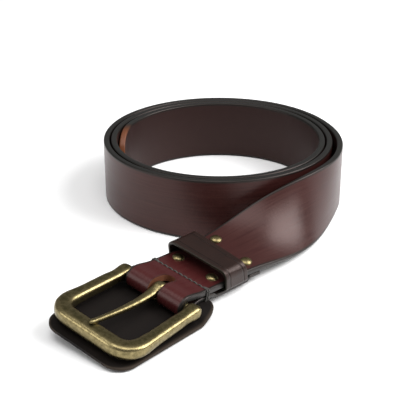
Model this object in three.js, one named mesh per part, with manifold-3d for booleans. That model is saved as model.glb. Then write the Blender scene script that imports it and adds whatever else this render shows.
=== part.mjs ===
import * as THREE from "three";
import { mergeVertices } from "three/addons/utils/BufferGeometryUtils.js";
import Module from "manifold-3d";

// Millimetres, +Z up. The coil stands on its edge round the Z axis while the piece is built, and the whole
// part is moved at the end so that its origin is the middle of the bottom of its bounding box.

// Strap
const strapWidth = 38;
const strapThickness = 3.6;
const foldThickness = 2.4;
const edgeRounding = 0.9;
const tipRounding = 22;
const tipEndShare = 0.3;

// Coil: turns are counted from the free tip on the left, clockwise seen from above
const coilRadius = 74.7;
const coilSquash = 0.942;
const coilTurns = 2.426;
const turnGap = 1;
const turnStep = 6;

// Where the buckle lies, seen from the coil
const buckleYaw = -40.3;
const buckleRoll = 7.4;
const strapRise = 7;
const buckleAcross = -0.446;
const buckleAhead = 72.5;
const twistStart = 0.25;
const twistEnd = 0.9;

// Buckle frame
const barRadius = 2.5;
const armHalfWidth = 3.6;
const armHalfHeight = 3.4;
const frontHalfWidth = 4.6;
const frontHalfHeight = 4.1;
const lobeRadius = 4.5;
const frameLength = 48.6;
const armClearance = 0.75;
const frameFlare = 1.5;
const cornerCut = 11;

// Prong
const prongWidth = 5.6;
const prongTipWidth = 2.9;
const prongThickness = 2.6;
const prongOverhang = 0.9;
const slotClearance = 0.75;
const slotEnd = 9.8;
const prongDip = 1.5;
const prongRamp = 19;

// Fit
const gap = 0.3;
const slide = 0.6;
const rivetClearance = 0.3;

// Turned-back layer, stitch line, rivets and keeper, as distances behind the heel bar
const meetDistance = 12.5;
const stitchDistance = 15.9;
const frontRivetDistance = 27.6;
const keeperWidth = 18.3;
const keeperPlay = 0.9;
const turnedMargin = 5.2;
const layerStep = 3.8;
const foldDrop = 1.2;
const threadRadius = 0.45;
const keeperThickness = 1.6;
const keeperRoom = 5.8;
const keeperLowRounding = 1;
const keeperHighRounding = 3;
const keeperLean = 16;

// Rivets
const rivetEdge = 7;
const shankRadius = 1.5;
const capRadius = 3.4;
const capHeight = 1.7;
const footRadius = 2.3;
const footHeight = 0.7;
const socketDepth = 0.8;

// The keeper sits just behind the front rivets, and the rear rivets just behind the keeper's pocket
const keeperStart = frontRivetDistance + shankRadius + keeperPlay + 0.5;
const keeperEnd = keeperStart + keeperWidth;
const rearRivetDistance = keeperEnd + keeperPlay + layerStep + footRadius - 0.2;
const turnedEnd = rearRivetDistance + turnedMargin;
const rivetSpread = strapWidth / 2 - rivetEdge;

// Prong holes near the free tip
const holeCount = 5;
const holeSpacing = 25.4;
const firstHole = 180;
const holeRadius = 2.4;

// Guard under the buckle
const guardThickness = 1.6;
const guardOverhang = 7.4;
const guardTail = 18.3;
const guardSide = 6.2;
const guardTaper = 2.2;
const guardCorner = 10;

const wasm = await Module();
wasm.setup();

// --- Solids -------------------------------------------------------------------------------------------

const leather = new THREE.MeshStandardMaterial({ color: 0x43332f, roughness: 0.42, metalness: 0 });
const keeperLeather = new THREE.MeshStandardMaterial({ color: 0x2f2420, roughness: 0.4, metalness: 0 });
const guardLeather = new THREE.MeshStandardMaterial({ color: 0x282117, roughness: 0.55, metalness: 0 });
const brass = new THREE.MeshStandardMaterial({ color: 0x75694a, roughness: 0.38, metalness: 1 });
const thread = new THREE.MeshStandardMaterial({ color: 0x3a3835, roughness: 0.8, metalness: 0 });

function solid(geometry) {
  const bare = geometry.clone();
  bare.deleteAttribute("normal");
  bare.deleteAttribute("uv");
  const merged = mergeVertices(bare, 1e-4);
  return new wasm.Manifold(
    new wasm.Mesh({
      numProp: 3,
      vertProperties: merged.attributes.position.array,
      triVerts: new Uint32Array(merged.index.array),
    }),
  );
}

function meshOf(name, made, material) {
  const data = made.getMesh();
  const geometry = new THREE.BufferGeometry();
  geometry.setAttribute("position", new THREE.BufferAttribute(data.vertProperties, data.numProp));
  geometry.setIndex(new THREE.BufferAttribute(data.triVerts, 1));
  geometry.computeVertexNormals();
  const mesh = new THREE.Mesh(geometry, material);
  mesh.name = name;
  return mesh;
}

// A curve through ready stations. Each station holds its point, its across direction (the width of the
// strip) and two scales, so one cross-section can grow thinner or narrower along the way.
class StationPath extends THREE.Curve {
  constructor(stations) {
    super();
    this.stations = stations;
    this.tangents = stations.map((_, i) => {
      const before = stations[Math.max(i - 1, 0)].point;
      const after = stations[Math.min(i + 1, stations.length - 1)].point;
      return after.clone().sub(before).normalize();
    });
  }

  getSpacedPoints() {
    return this.stations.map((station) => station.point);
  }

  computeFrenetFrames() {
    const normals = [];
    const binormals = [];
    this.stations.forEach((station, i) => {
      const face = station.across.clone().cross(this.tangents[i]).normalize();
      normals.push(face.multiplyScalar(station.deep));
      binormals.push(station.across.clone().multiplyScalar(station.wide));
    });
    return { tangents: this.tangents, normals, binormals };
  }
}

function sweep(stations, section) {
  return new THREE.ExtrudeGeometry(section, {
    steps: stations.length - 1,
    extrudePath: new StationPath(stations),
  });
}

function station(point, across, deep = 1, wide = 1) {
  return { point, across, deep, wide };
}

// A strip's cross-section: its thickness along the first direction, its width along the second.
function stripSection(thick, wide, rounding) {
  const x = thick / 2;
  const y = wide / 2;
  const cut = rounding;
  const shape = new THREE.Shape();
  shape.moveTo(x - cut, -y);
  shape.lineTo(x, -y + cut);
  shape.lineTo(x, y - cut);
  shape.lineTo(x - cut, y);
  shape.lineTo(-x + cut, y);
  shape.lineTo(-x, y - cut);
  shape.lineTo(-x, -y + cut);
  shape.lineTo(-x + cut, -y);
  shape.closePath();
  return shape;
}

function roundSection(radius, sides) {
  const points = [];
  for (let i = 0; i < sides; i += 1) {
    const angle = (2 * Math.PI * i) / sides;
    points.push(new THREE.Vector2(radius * Math.cos(angle), radius * Math.sin(angle)));
  }
  return new THREE.Shape(points);
}

const smooth = (value) => THREE.MathUtils.smoothstep(value, 0, 1);
const radians = THREE.MathUtils.degToRad;
const up = new THREE.Vector3(0, 0, 1);

// --- The buckle's own axes: x across the strap, y towards the strap, z out of its face -----------------

const buckleTurn = new THREE.Matrix4().makeRotationFromEuler(
  new THREE.Euler(0, radians(buckleRoll), radians(buckleYaw), "ZXY"),
);
const buckleX = new THREE.Vector3().setFromMatrixColumn(buckleTurn, 0);
const buckleY = new THREE.Vector3().setFromMatrixColumn(buckleTurn, 1);
const buckleZ = new THREE.Vector3().setFromMatrixColumn(buckleTurn, 2);

const armCentre = strapWidth / 2 + armClearance + armHalfWidth;
const guardHalf = armCentre + guardSide;
const foldInside = barRadius + gap;
const guardTop = foldInside + foldThickness + gap;
const coilFront = coilRadius * coilSquash;
const barHeight =
  guardHalf * Math.sin(radians(buckleRoll)) + (guardTop + guardThickness) * Math.cos(radians(buckleRoll)) + gap;
const barCentre = new THREE.Vector3(buckleAcross * coilRadius, -coilFront - buckleAhead, barHeight);

function atBuckle(x, y, z) {
  return barCentre
    .clone()
    .addScaledVector(buckleX, x)
    .addScaledVector(buckleY, y)
    .addScaledVector(buckleZ, z);
}

// --- The strap's path: coil, twisting run, straight run to the bar, bend, turned-back layer ------------

const startRadius = coilRadius - strapThickness / 2 - (strapThickness + turnGap) * 2.5;

function coilPoint(degrees) {
  const radius = startRadius + ((strapThickness + turnGap) * degrees) / 360;
  const angle = radians(degrees);
  return new THREE.Vector3(
    -radius * Math.cos(angle),
    coilSquash * radius * Math.sin(angle),
    strapWidth / 2,
  );
}

const coilEnd = coilTurns * 360;
const leave = coilPoint(coilEnd);
const leaveWay = coilPoint(coilEnd + 0.1).sub(coilPoint(coilEnd - 0.1)).normalize();
const across = buckleX.clone().negate();
const arriveWay = buckleY
  .clone()
  .multiplyScalar(-Math.cos(radians(strapRise)))
  .addScaledVector(buckleZ, Math.sin(radians(strapRise)));
const face = across.clone().cross(arriveWay);

// The top layer's mid-surface above the bar, and the straight run behind it with its small drop
const overBar = barCentre.clone().addScaledVector(face, foldInside + strapThickness / 2);
const straightLength = 18;

function straightPoint(behind) {
  const drop = foldDrop * smooth((behind - 1) / (meetDistance - 1));
  return overBar.clone().addScaledVector(arriveWay, -behind).addScaledVector(face, -drop);
}

const arrive = straightPoint(straightLength);
const pulls = [
  leave,
  leave.clone().addScaledVector(leaveWay, 0.975 * coilRadius),
  new THREE.Vector3(0.45 * coilRadius, -coilFront - 0.27 * coilRadius, strapWidth / 2 + 8.1),
  arrive.clone().addScaledVector(arriveWay, -0.937 * coilRadius),
  arrive,
];

function runPoint(share) {
  let points = pulls;
  while (points.length > 1) {
    points = points.slice(1).map((point, i) => points[i].clone().lerp(point, share));
  }
  return points[0];
}

function twisted(way, share) {
  const flat = up.clone().addScaledVector(way, -up.dot(way)).normalize();
  const side = way.clone().cross(flat);
  return flat.multiplyScalar(Math.cos(share)).addScaledVector(side, Math.sin(share));
}

const endFlat = up.clone().addScaledVector(arriveWay, -up.dot(arriveWay)).normalize();
const fullTwist = Math.atan2(across.dot(arriveWay.clone().cross(endFlat)), across.dot(endFlat));

const strapStations = [];

const tipLength = radians(turnStep) * startRadius;
for (let i = 0; i <= coilEnd / turnStep; i += 1) {
  const degrees = i * turnStep;
  const walked = (i * tipLength) / tipRounding;
  const round = Math.sqrt(Math.max(1 - (1 - Math.min(walked, 1)) ** 2, 0));
  const wide = tipEndShare + (1 - tipEndShare) * round;
  if (degrees < coilEnd - turnStep / 2) {
    strapStations.push(station(coilPoint(degrees), up.clone(), 1, wide));
  }
}

const runSteps = 44;
const run = [];
for (let i = 0; i <= runSteps; i += 1) {
  const share = i / runSteps;
  const way = runPoint(Math.min(share + 1e-3, 1)).sub(runPoint(Math.max(share - 1e-3, 0))).normalize();
  const turn = fullTwist * smooth((share - twistStart) / (twistEnd - twistStart));
  run.push(station(runPoint(share), twisted(way, turn)));
}

const straightSteps = 12;
for (let i = 1; i < straightSteps; i += 1) {
  const behind = straightLength * (1 - i / straightSteps);
  run.push(station(straightPoint(behind), across.clone()));
}
strapStations.push(...run);

// Any place on the top layer, by its distance behind the bar
const runBack = [station(overBar.clone(), across.clone()), ...run.slice().reverse()];
const walkedBack = [0];
runBack.slice(1).forEach((place, i) => {
  walkedBack.push(walkedBack[i] + place.point.distanceTo(runBack[i].point));
});

function onStrap(behind) {
  let i = walkedBack.findIndex((walked) => walked >= behind);
  i = Math.max(i, 1);
  const share = (behind - walkedBack[i - 1]) / (walkedBack[i] - walkedBack[i - 1]);
  const point = runBack[i - 1].point.clone().lerp(runBack[i].point, share);
  const side = runBack[i - 1].across.clone().lerp(runBack[i].across, share).normalize();
  const before = runBack[Math.max(i - 2, 0)].point;
  const after = runBack[Math.min(i + 1, runBack.length - 1)].point;
  const way = before.clone().sub(after).normalize();
  return { point, side, way, face: side.clone().cross(way).normalize() };
}

// The space left between the two layers: it closes behind the bar, opens again before the front rivets and
// closes behind the keeper
const keeperSpace = keeperThickness + 2 * gap;
const pocketStart = frontRivetDistance - footRadius;

function layerSpace(behind) {
  const closing = 1 - smooth(behind / meetDistance);
  const rising = smooth((behind - pocketStart + layerStep) / layerStep);
  const leaving = 1 - smooth((behind - keeperEnd - keeperPlay) / layerStep);
  return gap + (2 * foldInside - gap) * closing + (keeperSpace - gap) * Math.min(rising, leaving);
}

function underStrap(behind, depth) {
  const place = onStrap(behind);
  return {
    ...place,
    point: place.point.clone().addScaledVector(place.face, -strapThickness / 2 - depth),
  };
}

const bendSteps = 10;
for (let i = 0; i <= bendSteps; i += 1) {
  const share = i / bendSteps;
  const thick = THREE.MathUtils.lerp(strapThickness, foldThickness, share);
  const reach = foldInside + thick / 2;
  const angle = Math.PI * share;
  const point = barCentre
    .clone()
    .addScaledVector(face, reach * Math.cos(angle))
    .addScaledVector(arriveWay, reach * Math.sin(angle));
  strapStations.push(station(point, across.clone(), thick / strapThickness));
}

const turnedSteps = 60;
const turnedStations = [];
for (let i = 0; i <= turnedSteps; i += 1) {
  const behind = (turnedEnd * i) / turnedSteps;
  const place = underStrap(behind, layerSpace(behind) + foldThickness / 2);
  turnedStations.push(station(place.point, place.side, foldThickness / strapThickness));
}
strapStations.push(...turnedStations.slice(1));

let strap = solid(sweep(strapStations, stripSection(strapThickness, strapWidth, edgeRounding)));

// A round tool along the face direction at any place
function drill(point, way, radius, length, sides = 16) {
  const tool = new THREE.CylinderGeometry(radius, radius, length, sides);
  tool.applyQuaternion(new THREE.Quaternion().setFromUnitVectors(new THREE.Vector3(0, 1, 0), way));
  tool.translate(point.x, point.y, point.z);
  return solid(tool);
}

// Prong slot: through both layers of the fold, round at its ends
const slotWidth = prongWidth + 2 * slotClearance;
const slotDepth = 30;
const slotBack = slotEnd - slotWidth / 2;
const slotBox = new THREE.BoxGeometry(slotWidth, slotBack + slotDepth / 2, slotDepth);
slotBox.translate(0, slotBack / 2 - slotDepth / 4, 0);
const slotRound = new THREE.CylinderGeometry(slotWidth / 2, slotWidth / 2, slotDepth, 20);
slotRound.rotateX(Math.PI / 2);
slotRound.translate(0, slotBack, 0);
const strapAxes = new THREE.Matrix4().makeBasis(buckleX, arriveWay.clone().negate(), face).setPosition(barCentre);
const slotTool = solid(slotBox).add(solid(slotRound));
const slotGeometry = meshOf("slot", slotTool, leather).geometry.applyMatrix4(strapAxes);
strap = strap.subtract(solid(slotGeometry));

// Rivet places: two behind the stitch line and two behind the keeper
const rivets = [];
[
  ["front", frontRivetDistance],
  ["rear", rearRivetDistance],
].forEach(([row, behind]) => {
  [
    ["left", -rivetSpread],
    ["right", rivetSpread],
  ].forEach(([side, offset]) => {
    const spots = [behind - footRadius, behind, behind + footRadius].map((distance) => {
      const place = onStrap(distance);
      return { side: place.side, point: place.point.clone().addScaledVector(place.side, -offset) };
    });
    const along = spots[0].point.clone().sub(spots[2].point).normalize();
    const normal = spots[1].side.clone().cross(along).normalize();
    rivets.push({ name: `${row}_${side}`, point: spots[1].point, face: normal, space: layerSpace(behind) });
  });
});
rivets.forEach((rivet) => {
  strap = strap.subtract(drill(rivet.point, rivet.face, shankRadius + rivetClearance, 24));
});

// Prong holes, measured along the inner turn from the tip
let walked = 0;
let holesMade = 0;
for (let i = 1; holesMade < holeCount; i += 1) {
  const from = strapStations[i - 1].point;
  const to = strapStations[i].point;
  const step = to.distanceTo(from);
  const wanted = firstHole + holesMade * holeSpacing;
  if (walked + step >= wanted) {
    const point = from.clone().lerp(to, (wanted - walked) / step);
    const outward = up.clone().cross(to.clone().sub(from)).normalize();
    strap = strap.subtract(drill(point, outward, holeRadius, strapThickness + 2 * turnGap - 0.2));
    holesMade += 1;
  }
  walked += step;
}

// --- Buckle frame: a round-barred U with its heel bar cast across the open end -------------------------

const frontCentre = armCentre + frameFlare;
const outline = new THREE.Path();
outline.moveTo(-armCentre, 0);
outline.lineTo(-frontCentre, -frameLength + cornerCut);
outline.quadraticCurveTo(-frontCentre, -frameLength, -frontCentre + cornerCut, -frameLength);
outline.lineTo(frontCentre - cornerCut, -frameLength);
outline.quadraticCurveTo(frontCentre, -frameLength, frontCentre, -frameLength + cornerCut);
outline.lineTo(armCentre, 0);

const outlineSteps = 72;
const frameStations = outline.getSpacedPoints(outlineSteps).map((flat) => {
  const thicker = smooth((-flat.y - 0.55 * frameLength) / (0.4 * frameLength));
  const deep = THREE.MathUtils.lerp(1, frontHalfWidth / armHalfWidth, thicker);
  const wide = THREE.MathUtils.lerp(1, frontHalfHeight / armHalfHeight, thicker) * (armHalfHeight / armHalfWidth);
  return station(atBuckle(flat.x, flat.y, 0), buckleZ.clone(), deep, wide);
});
let frame = solid(sweep(frameStations, roundSection(armHalfWidth, 16)));
const bar = new THREE.CylinderGeometry(barRadius, barRadius, 2 * armCentre, 20);
bar.rotateZ(Math.PI / 2);
bar.applyMatrix4(buckleTurn);
bar.translate(barCentre.x, barCentre.y, barCentre.z);
frame = frame.add(solid(bar));
[-armCentre, armCentre].forEach((x) => {
  const lobe = new THREE.SphereGeometry(lobeRadius, 20, 14);
  const centre = atBuckle(x, 0, 0);
  lobe.applyMatrix4(buckleTurn);
  lobe.translate(centre.x, centre.y, centre.z);
  frame = frame.add(solid(lobe));
});

// --- Prong: curled round the heel bar, resting on the front bar ----------------------------------------

const curlRadius = barRadius + gap + prongThickness / 2;
const prongStations = [];
const curlSteps = 20;
const curlStart = -12;
const curlSweep = 288;
const neckLength = 0.185 * frameLength;
for (let i = 0; i < curlSteps; i += 1) {
  const angle = radians(curlStart - (curlSweep * i) / curlSteps);
  const point = atBuckle(0, -curlRadius * Math.cos(angle), curlRadius * Math.sin(angle));
  prongStations.push(station(point, buckleX.clone()));
}
const restHeight = frontHalfHeight + gap + prongThickness / 2;
const neckAngle = radians(curlStart - curlSweep);
const neck = new THREE.Vector2(-curlRadius * Math.cos(neckAngle), curlRadius * Math.sin(neckAngle));
const neckWay = new THREE.Vector2(-Math.sin(neckAngle), -Math.cos(neckAngle));
const shank = new THREE.CubicBezierCurve(
  neck,
  neck.clone().addScaledVector(neckWay, neckLength),
  new THREE.Vector2(-frameLength + prongRamp, prongDip),
  new THREE.Vector2(-frameLength - prongOverhang, restHeight),
);
const shankSteps = 26;
for (let i = 0; i <= shankSteps; i += 1) {
  const share = i / shankSteps;
  const flat = shank.getPoint(share);
  const taper = THREE.MathUtils.lerp(1, prongTipWidth / prongWidth, share);
  const nose = Math.sqrt(1 - Math.max((share - 0.94) / 0.07, 0) ** 2);
  prongStations.push(station(atBuckle(0, flat.x, flat.y), buckleX.clone(), nose, taper * nose));
}
const prong = solid(sweep(prongStations, stripSection(prongThickness, prongWidth, 0.8)));

// --- Keeper: a closed band round the strap, its lower run between the two layers ------------------------

const keeperHalf = strapWidth / 2 + slide;
const keeperBelow = strapThickness / 2 + gap;
const keeperAbove = strapThickness / 2 + keeperRoom;

function loopShape(extra) {
  const x0 = -keeperBelow - extra;
  const x1 = keeperAbove + extra;
  const y = keeperHalf + extra;
  const low = keeperLowRounding + extra;
  const high = keeperHighRounding + extra;
  const shape = new THREE.Shape();
  shape.moveTo(x0 + low, -y);
  shape.lineTo(x1 - high, -y);
  shape.quadraticCurveTo(x1, -y, x1, -y + high);
  shape.lineTo(x1, y - high);
  shape.quadraticCurveTo(x1, y, x1 - high, y);
  shape.lineTo(x0 + low, y);
  shape.quadraticCurveTo(x0, y, x0, y - low);
  shape.lineTo(x0, -y + low);
  shape.quadraticCurveTo(x0, -y, x0 + low, -y);
  return shape;
}

const keeperShape = loopShape(keeperThickness);
keeperShape.holes.push(loopShape(0));
const keeperSteps = 8;
const keeperStations = [];
for (let i = 0; i <= keeperSteps; i += 1) {
  const place = onStrap(keeperEnd - (keeperWidth * i) / keeperSteps);
  keeperStations.push(station(place.point, place.side));
}
const keeperGeometry = new THREE.ExtrudeGeometry(keeperShape, {
  steps: keeperSteps,
  curveSegments: 4,
  extrudePath: new StationPath(keeperStations),
});

// The band leans towards the buckle from its lower run up
const leanFoot = onStrap(keeperStart + keeperWidth / 2);
leanFoot.point.addScaledVector(leanFoot.face, -keeperBelow - keeperThickness / 2);
const bandPlaces = keeperGeometry.attributes.position;
for (let i = 0; i < bandPlaces.count; i += 1) {
  const corner = new THREE.Vector3().fromBufferAttribute(bandPlaces, i);
  const height = corner.clone().sub(leanFoot.point).dot(leanFoot.face);
  corner.addScaledVector(leanFoot.way, height * Math.tan(radians(keeperLean)));
  bandPlaces.setXYZ(i, corner.x, corner.y, corner.z);
}
const keeper = solid(keeperGeometry);

// --- Guard: a thin leather tongue sewn under the fold and lying under the buckle -----------------------

const turnedFrames = new StationPath(turnedStations).computeFrenetFrames();
const tailSteps = Math.round((guardTail / turnedEnd) * turnedSteps);
const guardOffset = foldThickness / 2 + gap + guardThickness / 2;
const guardStations = [];
const neckHalf = strapWidth / 2 - 0.4;
for (let i = tailSteps; i > 0; i -= 1) {
  const behind = (turnedEnd * i) / turnedSteps;
  const away = turnedFrames.normals[i].clone().normalize();
  const point = turnedStations[i].point.clone().addScaledVector(away, guardOffset);
  const half = THREE.MathUtils.lerp(guardHalf, neckHalf, smooth((behind - 1) / (stitchDistance - 2)));
  guardStations.push(station(point, across.clone(), 1, half / neckHalf));
}
const guardSteps = 40;
const guardLength = frameLength + guardOverhang;
for (let i = 0; i <= guardSteps; i += 1) {
  const ahead = (guardLength * i) / guardSteps;
  const toCorner = Math.max((ahead - guardLength + guardCorner) / guardCorner, 0);
  const side = guardHalf - (guardTaper * ahead) / guardLength;
  const half = side - guardCorner * (1 - Math.sqrt(Math.max(1 - toCorner ** 2, 0)));
  const point = atBuckle(0, -ahead, -guardTop - guardThickness / 2);
  guardStations.push(station(point, across.clone(), 1, half / neckHalf));
}
const guard = solid(sweep(guardStations, stripSection(guardThickness, 2 * neckHalf, 0.4)));

// --- Stitch thread: across the top, round the right edge and back underneath ---------------------------

const stitchPlace = onStrap(stitchDistance);
const stackBelow = strapThickness / 2 + layerSpace(stitchDistance) + foldThickness + gap + guardThickness;
const threadOff = gap + threadRadius;
const threadTop = strapThickness / 2 + threadOff;
const threadSide = strapWidth / 2 + threadOff;
const threadBottom = -stackBelow - threadOff;

function threadPoint(offset, height) {
  return stitchPlace.point
    .clone()
    .addScaledVector(stitchPlace.side, -offset)
    .addScaledVector(stitchPlace.face, height);
}

const threadTurn = 1.2;
const threadPath = new THREE.CurvePath();
const threadCorners = [
  threadPoint(-strapWidth / 2 + 2.5, threadTop),
  threadPoint(threadSide - threadTurn, threadTop),
  threadPoint(threadSide, threadTop),
  threadPoint(threadSide, threadTop - threadTurn),
  threadPoint(threadSide, threadBottom + threadTurn),
  threadPoint(threadSide, threadBottom),
  threadPoint(threadSide - threadTurn, threadBottom),
  threadPoint(-strapWidth / 2 + 2.5, threadBottom),
];
threadPath.add(new THREE.LineCurve3(threadCorners[0], threadCorners[1]));
threadPath.add(new THREE.QuadraticBezierCurve3(threadCorners[1], threadCorners[2], threadCorners[3]));
threadPath.add(new THREE.LineCurve3(threadCorners[3], threadCorners[4]));
threadPath.add(new THREE.QuadraticBezierCurve3(threadCorners[4], threadCorners[5], threadCorners[6]));
threadPath.add(new THREE.LineCurve3(threadCorners[6], threadCorners[7]));
const threadStations = threadPath.getSpacedPoints(96).map((point) => station(point, stitchPlace.way.clone()));
const stitches = solid(sweep(threadStations, roundSection(threadRadius, 8)));

// --- Rivets: a domed cap on the face, and a post with a flat foot underneath ---------------------------

function turnedPiece(profile, rivet) {
  const geometry = new THREE.LatheGeometry(profile, 20);
  geometry.applyQuaternion(new THREE.Quaternion().setFromUnitVectors(new THREE.Vector3(0, 1, 0), rivet.face));
  geometry.translate(rivet.point.x, rivet.point.y, rivet.point.z);
  return solid(geometry);
}

const capBase = strapThickness / 2 + gap;
const socketRadius = shankRadius + rivetClearance;
const capProfile = [
  new THREE.Vector2(0, capBase + socketDepth),
  new THREE.Vector2(socketRadius, capBase + socketDepth),
  new THREE.Vector2(socketRadius, capBase),
  new THREE.Vector2(capRadius - 0.2, capBase),
  new THREE.Vector2(capRadius, capBase + 0.25),
];
const domeSteps = 6;
for (let i = 1; i <= domeSteps; i += 1) {
  const angle = (Math.PI / 2) * (i / domeSteps);
  const radius = i === domeSteps ? 0 : capRadius * Math.cos(angle);
  capProfile.push(new THREE.Vector2(radius, capBase + 0.25 + (capHeight - 0.25) * Math.sin(angle)));
}

function postProfile(rivet) {
  const foot = -strapThickness / 2 - rivet.space - foldThickness - gap;
  const top = capBase + socketDepth - gap;
  return [
    new THREE.Vector2(0, foot - footHeight),
    new THREE.Vector2(footRadius - 0.25, foot - footHeight),
    new THREE.Vector2(footRadius, foot - footHeight + 0.25),
    new THREE.Vector2(footRadius, foot),
    new THREE.Vector2(shankRadius, foot),
    new THREE.Vector2(shankRadius, top),
    new THREE.Vector2(0, top),
  ];
}

// --- Assembly ------------------------------------------------------------------------------------------

const belt = new THREE.Group();
belt.name = "leather_belt";
belt.add(meshOf("strap", strap, leather));
belt.add(meshOf("buckle_frame", frame, brass));
belt.add(meshOf("prong", prong, brass));
belt.add(meshOf("keeper", keeper, keeperLeather));
belt.add(meshOf("buckle_guard", guard, guardLeather));
belt.add(meshOf("stitch_thread", stitches, thread));
rivets.forEach((rivet) => {
  belt.add(meshOf(`rivet_cap_${rivet.name}`, turnedPiece(capProfile, rivet), brass));
  belt.add(meshOf(`rivet_post_${rivet.name}`, turnedPiece(postProfile(rivet), rivet), brass));
});

const bounds = new THREE.Box3().setFromObject(belt);
const middle = bounds.getCenter(new THREE.Vector3());
belt.children.forEach((mesh) => mesh.geometry.translate(-middle.x, -middle.y, -bounds.min.z));

export default belt;
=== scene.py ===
import math

import bmesh
import bpy
import numpy as np
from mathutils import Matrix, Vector


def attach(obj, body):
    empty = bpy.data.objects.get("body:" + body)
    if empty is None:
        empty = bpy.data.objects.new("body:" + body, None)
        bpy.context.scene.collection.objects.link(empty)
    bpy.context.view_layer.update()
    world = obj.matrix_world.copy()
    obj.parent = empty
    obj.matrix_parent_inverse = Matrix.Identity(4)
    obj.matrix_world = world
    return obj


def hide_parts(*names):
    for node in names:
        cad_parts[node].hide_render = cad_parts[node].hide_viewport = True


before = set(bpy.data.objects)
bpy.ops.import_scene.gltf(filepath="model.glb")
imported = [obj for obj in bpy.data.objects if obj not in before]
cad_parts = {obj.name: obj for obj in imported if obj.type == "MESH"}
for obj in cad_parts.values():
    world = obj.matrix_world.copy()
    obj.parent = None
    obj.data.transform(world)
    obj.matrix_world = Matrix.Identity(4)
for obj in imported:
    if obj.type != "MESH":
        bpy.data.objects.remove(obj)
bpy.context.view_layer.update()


# --- Strap ----------------------------------------------------------------------------------------------
# One length of bridle leather about 3.6 mm thick, skived to 2.4 mm where it turns back under itself. It is
# cut on a bench, its edges are bevelled, painted and burnished, and it stands on edge in a loose coil.

MM = 0.001
COIL_CENTRE = np.array([5.4766, 64.6058, 0.0])
BAR_CENTRE = np.array([-27.84, -78.26, 11.15])
BUCKLE_YAW, BUCKLE_ROLL, STRAP_RISE = -40.3, 7.4, 7.0
STRAP_WIDTH = 38.0
STRAP_THICK = 3.6
FOLD_THICK = 2.4
COIL_RADIUS = 74.7
COIL_SQUASH = 0.942
COIL_TURNS = 2.426
TURN_PITCH = STRAP_THICK + 1.0
BAR_RADIUS = 2.5
GAP = 0.3
COIL_STEP = 1.5
TIP_ROUNDING = 22.0
TIP_END_SHARE = 0.3


def unit(vector):
    return vector / np.linalg.norm(vector, axis=-1, keepdims=True)


def smooth(value):
    value = np.clip(value, 0.0, 1.0)
    return value * value * (3.0 - 2.0 * value)


# The buckle's own axes: x across the strap, y towards the strap, z out of its face
yaw, roll, rise = math.radians(BUCKLE_YAW), math.radians(BUCKLE_ROLL), math.radians(STRAP_RISE)
turn_yaw = np.array([[math.cos(yaw), -math.sin(yaw), 0], [math.sin(yaw), math.cos(yaw), 0], [0, 0, 1]])
turn_roll = np.array([[math.cos(roll), 0, math.sin(roll)], [0, 1, 0], [-math.sin(roll), 0, math.cos(roll)]])
buckle_x, buckle_y, buckle_z = (turn_yaw @ turn_roll).T
across_end = -buckle_x
way_end = -buckle_y * math.cos(rise) + buckle_z * math.sin(rise)
face_end = np.cross(across_end, way_end)
fold_inside = BAR_RADIUS + GAP
start_radius = COIL_RADIUS - STRAP_THICK / 2 - TURN_PITCH * 2.5
coil_front = COIL_RADIUS * COIL_SQUASH


def at_buckle(x, y, z):
    return BAR_CENTRE + buckle_x * x + buckle_y * y + buckle_z * z


def coil_point(degrees):
    angle = np.radians(degrees)
    radius = start_radius + TURN_PITCH * np.asarray(degrees, float) / 360
    height = np.full_like(radius, STRAP_WIDTH / 2)
    flat = [-radius * np.cos(angle), COIL_SQUASH * radius * np.sin(angle), height]
    return np.stack(flat, axis=-1) + COIL_CENTRE


# Behind the bar the two layers close up over MEET, and the strap runs straight for STRAIGHT
MEET = 12.5
FOLD_DROP = 1.2
STRAIGHT = 18.0
over_bar = BAR_CENTRE + face_end * (fold_inside + STRAP_THICK / 2)


def straight_point(behind):
    behind = np.asarray(behind, float)[..., None]
    drop = FOLD_DROP * smooth((behind - 1) / (MEET - 1))
    return over_bar - way_end * behind - face_end * drop


# The run from the coil to the buckle bends on five pulls and twists face-up on the way. The first and
# last pulls are shares of the coil's radius, and the middle one holds the run out from the coil.
LEAVE_PULL, ARRIVE_PULL = 0.975, 0.937
MIDDLE_SIDE, MIDDLE_OUT, MIDDLE_LIFT = 0.45, 0.27, 8.1
coil_end = COIL_TURNS * 360
leave = coil_point(coil_end)
leave_way = unit(coil_point(coil_end + 0.1) - coil_point(coil_end - 0.1))
arrive = straight_point(STRAIGHT)
pulls = np.array([
    leave,
    leave + leave_way * LEAVE_PULL * COIL_RADIUS,
    COIL_CENTRE + [MIDDLE_SIDE * COIL_RADIUS, -coil_front - MIDDLE_OUT * COIL_RADIUS,
                   STRAP_WIDTH / 2 + MIDDLE_LIFT],
    arrive - way_end * ARRIVE_PULL * COIL_RADIUS,
    arrive,
])
RUN_STEPS = 130
TWIST_START, TWIST_END = 0.25, 0.9
share = np.linspace(0, 1, RUN_STEPS + 1)[:, None]
weights = [math.comb(4, i) * share**i * (1 - share) ** (4 - i) for i in range(5)]
run = sum(weight * pull for weight, pull in zip(weights, pulls))
run_way = unit(np.gradient(run, axis=0))
up = np.array([0.0, 0.0, 1.0])
flat = unit(up - run_way * run_way[:, 2:3])
end_flat = unit(up - way_end * way_end[2])
full_twist = math.atan2(across_end @ np.cross(way_end, end_flat), across_end @ end_flat)
turn = full_twist * smooth((share - TWIST_START) / (TWIST_END - TWIST_START))
run_across = flat * np.cos(turn) + np.cross(run_way, flat) * np.sin(turn)

STRAIGHT_STEPS = 70
behind_straight = STRAIGHT * (1 - np.arange(1, STRAIGHT_STEPS) / STRAIGHT_STEPS)
top_points = np.vstack([run, straight_point(behind_straight)])
top_across = np.vstack([run_across, np.tile(across_end, (STRAIGHT_STEPS - 1, 1))])

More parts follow.
